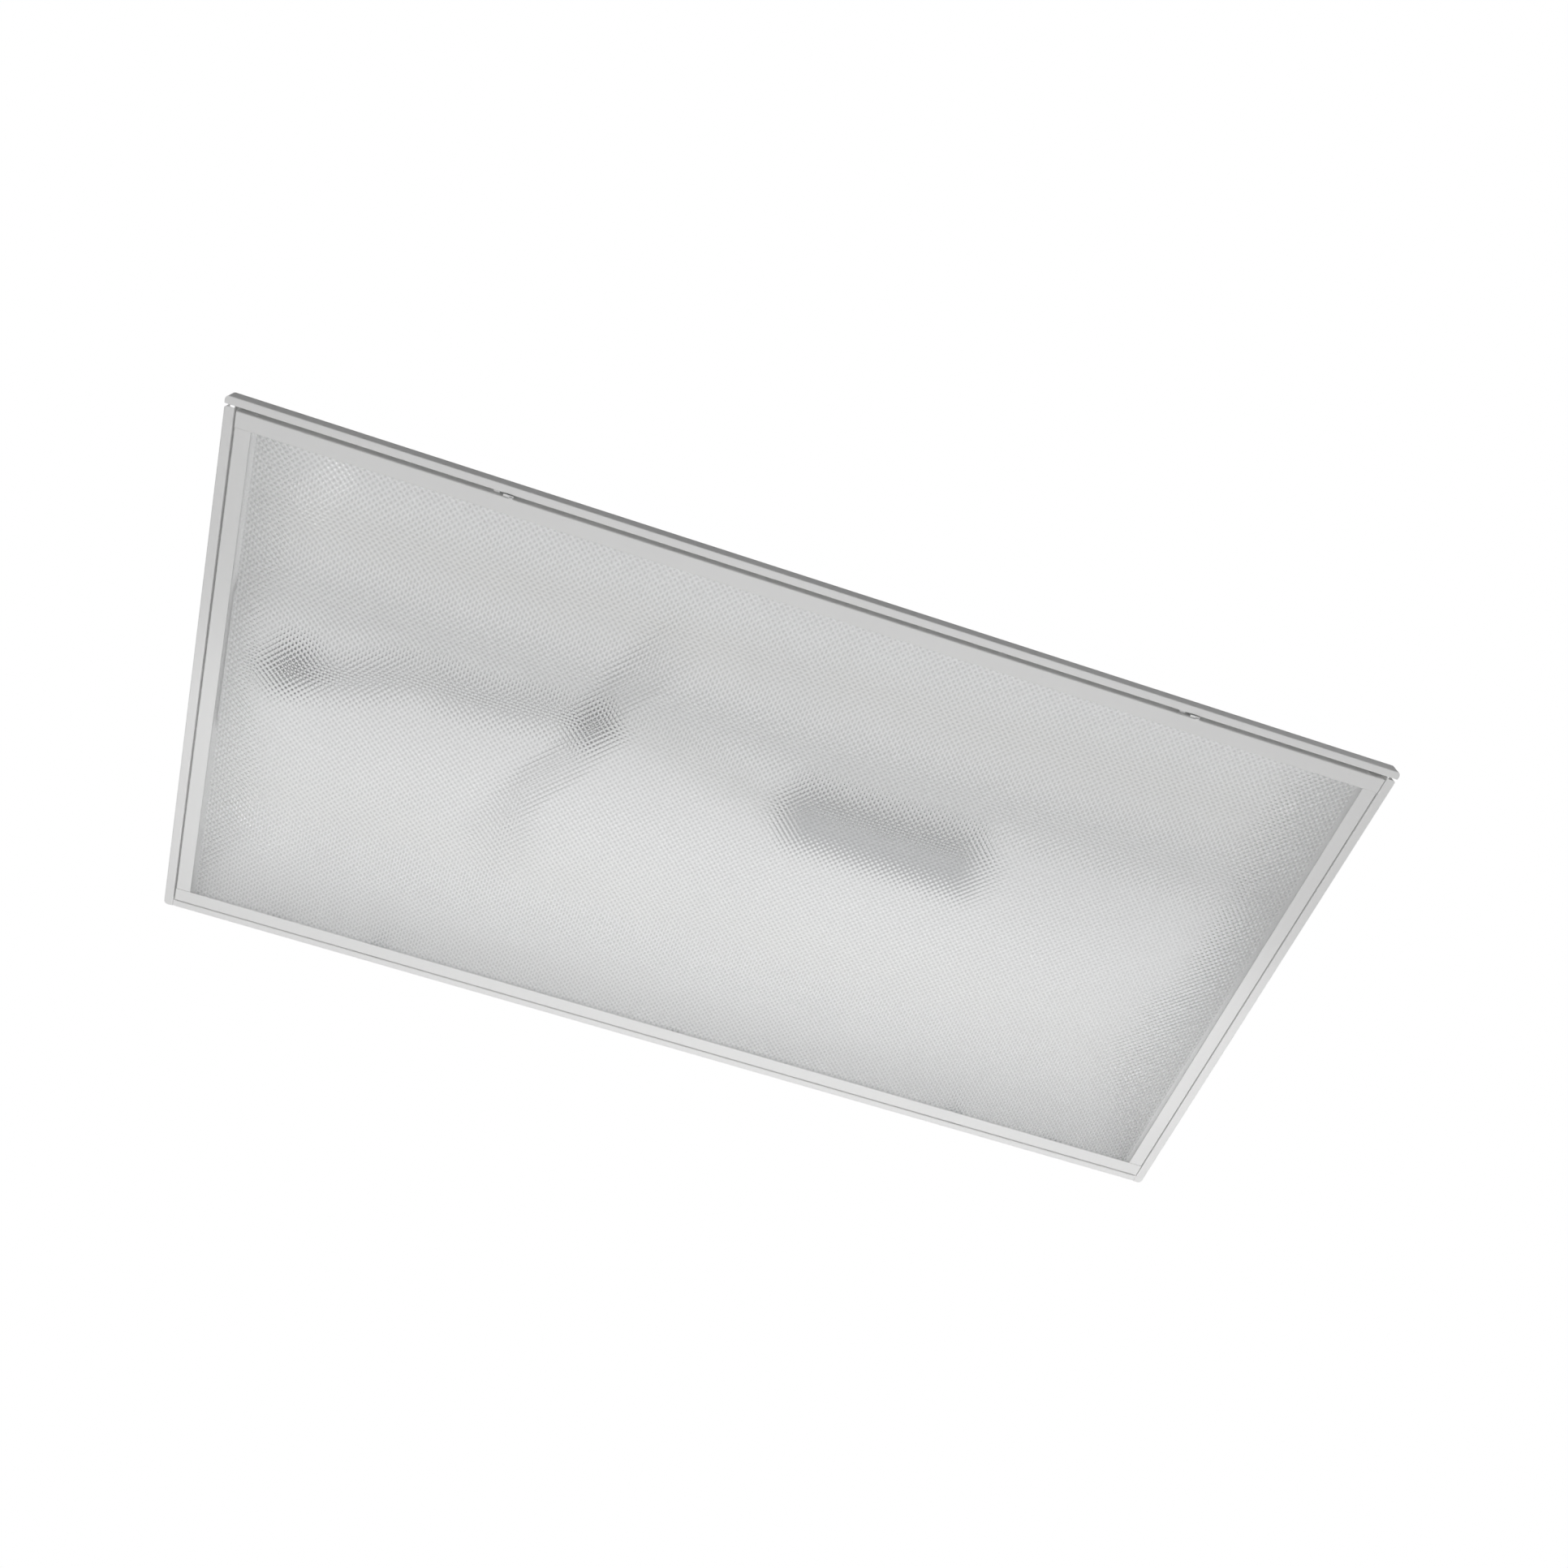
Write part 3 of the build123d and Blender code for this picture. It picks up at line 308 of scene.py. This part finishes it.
def circuit(name, mask, copper, roughness):
    """Circuit board: solder mask with a raised pattern of tracks."""
    finish = Finish(name, mask, roughness)
    tracks = finish.node("ShaderNodeTexBrick")
    tracks.inputs["Scale"].default_value = 1.0
    tracks.inputs["Brick Width"].default_value = 0.024
    tracks.inputs["Row Height"].default_value = 0.0034
    tracks.inputs["Mortar Size"].default_value = 0.00045
    tracks.inputs["Mortar Smooth"].default_value = 0.1
    finish.link(finish.place, tracks.inputs["Vector"])
    line = tracks.outputs["Fac"]
    grain = finish.ramp(finish.noise(300.0, 3.0), 0.3, 0.7)
    tint = finish.blend(grain, mask, shade(mask, 0.95))
    finish.colour(finish.blend(line, tint, copper))
    finish.rough(finish.ramp(grain, 0, 1, roughness - 0.05, roughness + 0.06))
    finish.bump(line, 0.00005, 0.6)
    finish.bump(finish.noise(900.0, 2.0), 0.00001, 0.5)
    return finish.material


def pitted(finish, clear):
    """Rounded pits in rows at 45 degrees: painted shade darkens the heart of each, and a normal that leans as
    its walls do.
    """
    spot = finish.node("ShaderNodeSeparateXYZ")
    finish.link(finish.place, spot.inputs[0])
    turns = 2 * math.pi / lens_pitch * diagonal
    lean = -lens_slope * 2 / math.pi * diagonal
    slopes = []
    tops = []
    for sign in (1, -1):
        along = finish.math("ADD", spot.outputs["Y"], finish.math("MULTIPLY", spot.outputs["X"], sign))
        phase = finish.math("MULTIPLY", along, turns)
        tops.append(finish.math("COSINE", phase))
        wave = finish.math("ARCSINE", finish.math("SINE", phase))
        slopes.append(finish.math("MULTIPLY", wave, lean))
    # painted shade: base colour darker towards the heart of each pit, standing in for the light and dark of
    # the prisms
    painted_pit_shade = finish.ramp(finish.math("ADD", tops[0], tops[1]), 0.0, 2.0)
    finish.colour(finish.blend(painted_pit_shade, clear, (0.7, 0.7, 0.705)))
    normal = finish.node("ShaderNodeCombineXYZ")
    finish.link(finish.math("SUBTRACT", slopes[0], slopes[1]), normal.inputs["X"])
    finish.link(finish.math("ADD", slopes[0], slopes[1]), normal.inputs["Y"])
    normal.inputs["Z"].default_value = -1.0
    behind = finish.node("ShaderNodeNewGeometry").outputs["Backfacing"]
    facing = finish.node("ShaderNodeVectorMath")
    facing.operation = "SCALE"
    finish.link(normal.outputs[0], facing.inputs[0])
    finish.link(finish.ramp(behind, 0, 1, 1, -1), facing.inputs["Scale"])
    turned = finish.node("ShaderNodeVectorTransform")
    turned.vector_type = "NORMAL"
    turned.convert_from = "OBJECT"
    turned.convert_to = "WORLD"
    finish.link(facing.outputs[0], turned.inputs[0])
    finish.link(turned.outputs[0], finish.shader.inputs["Normal"])


def clear_acrylic(name, with_pits):
    """Clear acrylic with a trace of haze, which lamps reach through."""
    clear = (0.972, 0.974, 0.978)
    finish = Finish(name, clear, 0.11)
    finish.shader.inputs["Transmission Weight"].default_value = 0.9
    finish.shader.inputs["IOR"].default_value = 1.49
    finish.rough(finish.ramp(finish.noise(14.0, 4.0, 0.6), 0.4, 0.7, 0.09, 0.13))
    if with_pits:
        pitted(finish, clear)
    through = finish.node("ShaderNodeBsdfTransparent")
    through.inputs["Color"].default_value = (0.976, 0.978, 0.98, 1)
    path = finish.node("ShaderNodeLightPath")
    lit = finish.math("MAXIMUM", path.outputs["Is Shadow Ray"], path.outputs["Is Diffuse Ray"])
    both = finish.node("ShaderNodeMixShader")
    finish.link(lit, both.inputs[0])
    finish.link(finish.shader.outputs[0], both.inputs[1])
    finish.link(through.outputs[0], both.inputs[2])
    finish.link(both.outputs[0], finish.out.inputs["Surface"])
    return finish.material


def ferrite_core(name, colour):
    """Sintered ferrite: matt grey with pores, each darkened by painted shade."""
    finish = Finish(name, colour, 0.7)
    pores_and_painted_shade = finish.ramp(finish.cells(1600.0, "Distance"), 0.05, 0.35)
    # painted shade: colour darkened inside each pore
    finish.colour(finish.blend(pores_and_painted_shade, shade(colour, 0.5), colour))
    finish.bump(pores_and_painted_shade, 0.00008, 0.7)
    return finish.material


def phosphor(name, colour):
    """Phosphor set in clear resin over the LED: grainy and waxy."""
    finish = Finish(name, colour, 0.42)
    grain = finish.ramp(finish.noise(2600.0, 4.0, 0.8), 0.3, 0.7)
    finish.colour(finish.blend(grain, colour, (colour[0] * 0.86, colour[1] * 0.72, colour[2] * 0.5)))
    finish.shader.inputs["Coat Weight"].default_value = 0.6
    finish.shader.inputs["Coat Roughness"].default_value = 0.12
    finish.bump(grain, 0.00002, 0.6)
    return finish.material


makers = {
    "white_enamel": (enamel, (0.885, 0.885, 0.88), 0.34),
    "driver_grey": (enamel, (0.47, 0.475, 0.48), 0.42, 0.85),
    "ground_green": (enamel, (0.02, 0.2, 0.05), 0.35, 0.8),
    "zinc_steel": (plated, (0.62, 0.63, 0.64), 0.34),
    "spring_steel": (brushed, (0.5, 0.5, 0.51), 0.28, (30.0, 900.0, 900.0)),
    "connector_white": (moulded, (0.74, 0.74, 0.71), 0.36),
    "black_nylon": (moulded, (0.04, 0.04, 0.043), 0.42),
    "black_sleeve": (sleeve, (0.032, 0.032, 0.035), 0.42),
    "white_sleeve": (sleeve, (0.68, 0.68, 0.65), 0.4),
    "circuit_white": (circuit, (0.83, 0.83, 0.81), (0.77, 0.76, 0.73), 0.34),
    "circuit_green": (circuit, (0.02, 0.14, 0.05), (0.04, 0.2, 0.07), 0.3),
    "ferrite": (ferrite_core, (0.07, 0.07, 0.075)),
    "capacitor_can": (sleeve, (0.03, 0.035, 0.07), 0.3),
    "led_phosphor": (phosphor, (0.82, 0.66, 0.13)),
    "lens_acrylic": (clear_acrylic, False),
}
finishes = {name: maker(name, *values) for name, (maker, *values) in makers.items()}
lens_pitted = clear_acrylic("lens_acrylic_pitted", True)

slot_of = {part["node"]: part["material_slot"] for part in frame["record"]["subparts"]}
for name, thing in nodes.items():
    thing.data.materials.clear()
    thing.data.materials.append(finishes[slot_of[name]])


# ---------------------------------------------------------------- making pieces


def piece(name, shell, body, slot, replaced, smooth=True):
    """New mesh piece in metres, in place of CAD nodes, that rides on a body and takes a slot's finish."""
    mesh = bpy.data.meshes.new(name)
    mesh.from_pydata(shell.points, [], shell.faces)
    mesh.validate()
    mesh.materials.append(finishes[slot])
    thing = bpy.data.objects.new(name, mesh)
    bpy.context.scene.collection.objects.link(thing)
    if smooth:
        mesh.shade_smooth()
        mesh.set_sharp_from_angle(angle=sharp_angle)
    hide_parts(*replaced)
    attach(thing, body)
    return thing


class Shell:
    """Points and faces of several closed forms that make one piece."""

    def __init__(self):
        self.points = []
        self.faces = []

    def add(self, points, faces):
        start = len(self.points)
        self.points += [tuple(p) for p in points]
        self.faces += [tuple(start + i for i in face) for face in faces]

    def stacked(self, rings, put):
        """Rings of (height, [(x, y), ...]), joined in order and capped, with each point put in its place."""
        count = len(rings[0][1])
        points = [put(x, y, height) for height, ring in rings for x, y in ring]
        faces = []
        for level in range(len(rings) - 1):
            low = level * count
            high = low + count
            for i in range(count):
                j = (i + 1) % count
                faces.append((low + i, low + j, high + j, high + i))
        faces.append(tuple(reversed(range(count))))
        faces.append(tuple(range((len(rings) - 1) * count, len(rings) * count)))
        self.add(points, faces)

    def turned(self, place, axis, rings):
        """Rings of (height, [(x, y), ...]) about an axis through a place."""
        axis = Vector(axis).normalized()
        side = axis.orthogonal().normalized()
        over = axis.cross(side)
        start = Vector(place)
        self.stacked(rings, lambda x, y, height: start + side * x + over * y + axis * height)


def round_ring(radius, angles):
    return [(radius * math.cos(a), radius * math.sin(a)) for a in angles]


def evenly(count):
    return [2 * math.pi * i / count for i in range(count)]


def cross_angles(arm):
    """Angles that meet the corners of a cross, whose half arm is a share of its reach, and fill a circle."""
    slim = math.atan(arm)
    quarter = [0.0, slim, math.radians(30), math.radians(45), math.radians(60), math.pi / 2 - slim]
    return [turn * math.pi / 2 + a for turn in range(4) for a in quarter]


def cross_ring(reach, half_width, angles):
    """Outline of a cross by angle."""
    ring = []
    for a in angles:
        c, s = abs(math.cos(a)), abs(math.sin(a))
        far = min(reach / max(c, s), half_width / max(min(c, s), 1e-6))
        ring.append((far * math.cos(a), far * math.sin(a)))
    return ring


def islands(name):
    """Points of each separate solid in a CAD node."""
    mesh = bmesh.new()
    mesh.from_mesh(nodes[name].data)
    bmesh.ops.remove_doubles(mesh, verts=mesh.verts, dist=1e-6)
    mesh.verts.ensure_lookup_table()
    seen = set()
    found = []
    for first in mesh.verts:
        if first.index in seen:
            continue
        todo = [first]
        seen.add(first.index)
        members = []
        while todo:
            vertex = todo.pop()
            members.append(vertex.co.copy())
            for edge in vertex.link_edges:
                other = edge.other_vert(vertex)
                if other.index not in seen:
                    seen.add(other.index)
                    todo.append(other)
        found.append(np.array([tuple(v) for v in members]))
    mesh.free()
    return found


def pin_of(points):
    """Axis, head face, and sizes of a headed pin from the points of its solid."""
    low, high = points.min(0), points.max(0)
    size = high - low
    pairs = [(abs(size[1] - size[2]), 0), (abs(size[0] - size[2]), 1), (abs(size[0] - size[1]), 2)]
    axis = min(pairs)[1]
    middle = (low + high) / 2
    across = np.delete(points, axis, 1) - np.delete(middle, axis)
    away = np.hypot(across[:, 0], across[:, 1])
    along = points[:, axis]
    wide = away.max()
    levels = sorted(set(np.round(along, 6)))
    rings = [away[np.abs(along - level) < 2e-6] for level in levels]
    head_low = rings[0].max() > wide * 0.99
    if not head_low:
        levels = levels[::-1]
        rings = rings[::-1]
    face = levels[1]
    place = middle.copy()
    place[axis] = face
    out = np.zeros(3)
    out[axis] = -1 if head_low else 1
    shank = min(ring.min() for ring in rings if ring.min() > 1e-5)
    tail = rings[-1].max()
    bulb = tail > shank * 1.2
    return {
        "place": place,
        "out": out,
        "head": abs(face - levels[0]),
        "wide": wide,
        "shank": shank,
        "length": abs(levels[-1] - face),
        "tail": tail if bulb else 0.0,
        "tail_height": abs(levels[-1] - levels[-2]) if bulb else 0.0,
    }


def threads(shell, pin):
    """Shank below a head with rolled threads that end in a blunt point."""
    angles = evenly(12)
    pitch = 0.8 * mm
    radius, length = pin["shank"], pin["length"]
    rings = []
    depth = 0.0
    step = 0
    while depth < length - radius * 0.9:
        rings.append((-depth, round_ring(radius * (0.84 if step % 2 else 1.0), angles)))
        depth += pitch / 2
        step += 1
    rings.append((-(length - radius * 0.5), round_ring(radius * 0.7, angles)))
    rings.append((-length, round_ring(radius * 0.3, angles)))
    shell.turned(pin["place"], pin["out"], rings)


def hex_screw(shell, pin):
    """Sheet metal screw with a hexagon on a washer face, dished in the middle."""
    wide, head = pin["wide"], pin["head"]
    angles = evenly(24)
    half_side = math.radians(30)
    flats = []
    for a in angles:
        far = (0.74 * wide) * (math.cos(half_side) / math.cos((a % (2 * half_side)) - half_side))
        flats.append((far * math.cos(a), far * math.sin(a)))
    rings = [
        (0.0, round_ring(wide * 0.97, angles)),
        (head * 0.1, round_ring(wide, angles)),
        (head * 0.24, round_ring(wide * 0.97, angles)),
        (head * 0.32, round_ring(wide * 0.76, angles)),
        (head * 0.34, flats),
        (head * 0.86, flats),
        (head, round_ring(wide * 0.54, angles)),
        (head * 0.93, round_ring(wide * 0.44, angles)),
        (head * 0.8, round_ring(wide * 0.3, angles)),
    ]
    shell.turned(pin["place"], pin["out"], rings)
    threads(shell, pin)


def pan_screw(shell, pin):
    """Pan head screw with a cross recess."""
    wide, head = pin["wide"], pin["head"]
    arm = 0.28
    angles = cross_angles(arm)
    reach = wide * 0.56
    rings = [
        (0.0, round_ring(wide * 0.98, angles)),
        (head * 0.12, round_ring(wide, angles)),
        (head * 0.45, round_ring(wide * 0.97, angles)),
        (head * 0.76, round_ring(wide * 0.84, angles)),
        (head * 0.94, round_ring(wide * 0.68, angles)),
        (head, round_ring(wide * 0.6, angles)),
        (head, cross_ring(reach, reach * arm, angles)),
        (head * 0.45, cross_ring(reach * 0.66, reach * arm * 0.8, angles)),
    ]
    shell.turned(pin["place"], pin["out"], rings)
    threads(shell, pin)


def pop_rivet(shell, pin):
    """Blind rivet: domed head with its broken mandrel in the hole, and a bulb behind."""
    wide, head, shank = pin["wide"], pin["head"], pin["shank"]
    angles = evenly(20)
    rings = [
        (0.0, round_ring(wide, angles)),
        (head * 0.22, round_ring(wide * 0.985, angles)),
        (head * 0.58, round_ring(wide * 0.86, angles)),
        (head * 0.88, round_ring(wide * 0.62, angles)),
        (head, round_ring(wide * 0.42, angles)),
        (head * 0.97, round_ring(wide * 0.36, angles)),
        (head * 0.45, round_ring(wide * 0.34, angles)),
        (head * 0.42, round_ring(wide * 0.3, angles)),
        (head * 0.62, round_ring(wide * 0.24, angles)),
        (head * 0.66, round_ring(wide * 0.1, angles)),
    ]
    shell.turned(pin["place"], pin["out"], rings)
    length, tail, height = pin["length"], pin["tail"], pin["tail_height"]
    if tail:
        grip = length - height
        rings = [
            (0.0, round_ring(shank, angles)),
            (-grip, round_ring(shank, angles)),
            (-grip - height * 0.02, round_ring(tail * 0.9, angles)),
            (-grip - height * 0.4, round_ring(tail, angles)),
            (-grip - height * 0.75, round_ring(tail * 0.8, angles)),
            (-length, round_ring(shank * 0.72, angles)),
        ]
    else:
        rings = [(0.0, round_ring(shank, angles)), (-length, round_ring(shank, angles))]
    shell.turned(pin["place"], pin["out"], rings)


def headed(node, maker, body, name):
    """Replaces a node of headed pins by detailed ones."""
    shell = Shell()
    for points in islands(node):
        maker(shell, pin_of(points))
    piece(name, shell, body, slot_of[node], [node])


headed("wireway_screws", hex_screw, "housing", "wireway_hex_screws")
headed("access_plate_screws", hex_screw, "housing", "access_hex_screws")
headed("driver_screws", pan_screw, "housing", "driver_pan_screws")
headed("led_board_screws", pan_screw, "housing", "led_board_pan_screws")
headed("ground_screw", hex_screw, "housing", "ground_hex_screw")
headed("end_plate_rivets", pop_rivet, "housing", "end_plate_pop_rivets")
headed("hinge_strap_rivets", pop_rivet, "housing", "hinge_strap_pop_rivets")
headed("grid_clip_rivets", pop_rivet, "housing", "grid_clip_pop_rivets")
headed("door_corner_rivets", pop_rivet, "door", "door_corner_pop_rivets")


# ---------------------------------------------------------------- lens


def prism_lens():
    """Clear sheet, flat above, with square pits below whose rows run at 45 degrees to the edges."""
    low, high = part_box("prismatic_lens")
    step = lens_pitch * diagonal
    plain_ends = 22 * mm
    plain_sides = 1 * mm
    count_x = int((high.x - low.x - plain_ends) / step) // 4 * 4
    count_y = int((high.y - low.y - plain_sides) / step) // 4 * 4
    xs = (np.arange(count_x + 1) - count_x / 2) * step
    ys = (np.arange(count_y + 1) - count_y / 2) * step
    sheet = Shell()
    for j, y in enumerate(ys):
        for i, x in enumerate(xs):
            pit = (i + j) % 2 == 0 and j not in (0, count_y) and i not in (0, count_x)
            sheet.points.append((x, y, low.z + (lens_pit_depth if pit else 0.0)))
    row = count_x + 1
    for j in range(count_y):
        for i in range(count_x):
            a = j * row + i
            b, c, d = a + 1, a + row + 1, a + row
            if (i + j) % 2 == 0:
                sheet.faces += [(a, d, b), (c, b, d)]
            else:
                sheet.faces += [(b, a, c), (d, c, a)]
    pit_faces = len(sheet.faces)
    rim = list(range(row))
    rim += [j * row + count_x for j in range(1, count_y + 1)]
    rim += [count_y * row + i for i in range(count_x - 1, -1, -1)]
    rim += [j * row for j in range(count_y - 1, 0, -1)]
    ends = ((low.x, low.y), (high.x, low.y), (high.x, high.y), (low.x, high.y))
    corners = [Vector(end) for end in ends]
    total = len(rim)
    outer = len(sheet.points)
    top = outer + total
    edge = []
    for side, count in enumerate((count_x, count_y, count_x, count_y)):
        edge += [corners[side].lerp(corners[(side + 1) % 4], k / count) for k in range(count)]
    sheet.points += [(spot.x, spot.y, low.z) for spot in edge]
    sheet.points += [(spot.x, spot.y, high.z) for spot in edge]
    for k in range(total):
        n = (k + 1) % total
        sheet.faces.append((rim[k], rim[n], outer + n, outer + k))
        sheet.faces.append((outer + k, outer + n, top + n, top + k))
    sheet.faces.append(tuple(range(top, top + total)))
    thing = piece("prism_lens_sheet", sheet, "door", "lens_acrylic", ["prismatic_lens"], smooth=False)
    thing.data.materials.append(lens_pitted)
    for index in range(pit_faces):
        thing.data.polygons[index].material_index = 1


prism_lens()


# ---------------------------------------------------------------- LEDs


def soft_oblong(half_x, half_y, power):
    """Outline of an oblong with rounded corners, which a higher power makes tighter."""
    ring = []
    for a in evenly(16):
        c, s = math.cos(a), math.sin(a)
        grow = (abs(c) ** power + abs(s) ** power) ** (-1 / power)
        ring.append((half_x * grow * c, half_y * grow * s))
    return ring


def led_forms():
    """White package with a slanted rim round a phosphor pool, for every LED."""
    bodies = Shell()
    pools = Shell()
    replaced = [name for name in nodes if name.startswith("led_packages_")]
    body_levels = [
        (1.0, 0.97, 0.97, 14),
        (0.45, 1.0, 1.0, 14),
        (0.04, 0.96, 0.95, 14),
        (0.0, 0.93, 0.92, 14),
        (0.0, 0.8, 0.78, 7),
        (0.3, 0.7, 0.68, 7),
    ]
    pool_levels = [(0.26, 0.715, 0.7, 7), (0.12, 0.765, 0.745, 7), (0.07, 0.5, 0.48, 4)]
    for name in replaced:
        for points in islands(name):
            low, high = Vector(points.min(0)), Vector(points.max(0))
            middle = (low + high) / 2
            half = (high - low) / 2

            def put(x, y, z):
                return (middle.x + x, middle.y - y, z)

            for shell, levels in ((bodies, body_levels), (pools, pool_levels)):
                rings = []
                for share, wide_x, wide_y, power in levels:
                    height = low.z + share * (high.z - low.z)
                    rings.append((height, soft_oblong(half.x * wide_x, half.y * wide_y, power)))
                shell.stacked(rings, put)
    piece("led_bodies", bodies, "housing", "circuit_white", replaced)
    piece("led_pools", pools, "housing", "led_phosphor", replaced)


led_forms()


# ---------------------------------------------------------------- floor


def floor():
    """Plain pale floor far below the object, which fades into the white background with distance."""
    finish = Finish("floor_paint", (0.6, 0.6, 0.597), 0.7)
    finish.bump(finish.noise(30.0, 3.0), 0.0004, 0.2)
    length = finish.node("ShaderNodeVectorMath")
    length.operation = "LENGTH"
    finish.link(finish.place, length.inputs[0])
    far_off = finish.ramp(length.outputs["Value"], 2.6, 6.5, 0.78, 1.0)
    path = finish.node("ShaderNodeLightPath")
    seen = finish.math("MAXIMUM", path.outputs["Is Camera Ray"], path.outputs["Is Glossy Ray"])
    seen = finish.math("MAXIMUM", seen, path.outputs["Is Transmission Ray"])
    white = finish.node("ShaderNodeEmission")
    white.inputs["Strength"].default_value = 1.0
    both = finish.node("ShaderNodeMixShader")
    finish.link(finish.math("MULTIPLY", seen, far_off), both.inputs[0])
    finish.link(finish.shader.outputs[0], both.inputs[1])
    finish.link(white.outputs[0], both.inputs[2])
    finish.link(both.outputs[0], finish.out.inputs["Surface"])
    mesh = bpy.data.meshes.new("floor")
    signs = [(-1, -1), (1, -1), (1, 1), (-1, 1)]
    corners = [(x * floor_reach, y * floor_reach, floor_level) for x, y in signs]
    mesh.from_pydata(corners, [], [(0, 1, 2, 3)])
    mesh.materials.append(finish.material)
    thing = bpy.data.objects.new("floor", mesh)
    bpy.context.scene.collection.objects.link(thing)


floor()

bpy.context.scene.view_settings.view_transform = "Standard"
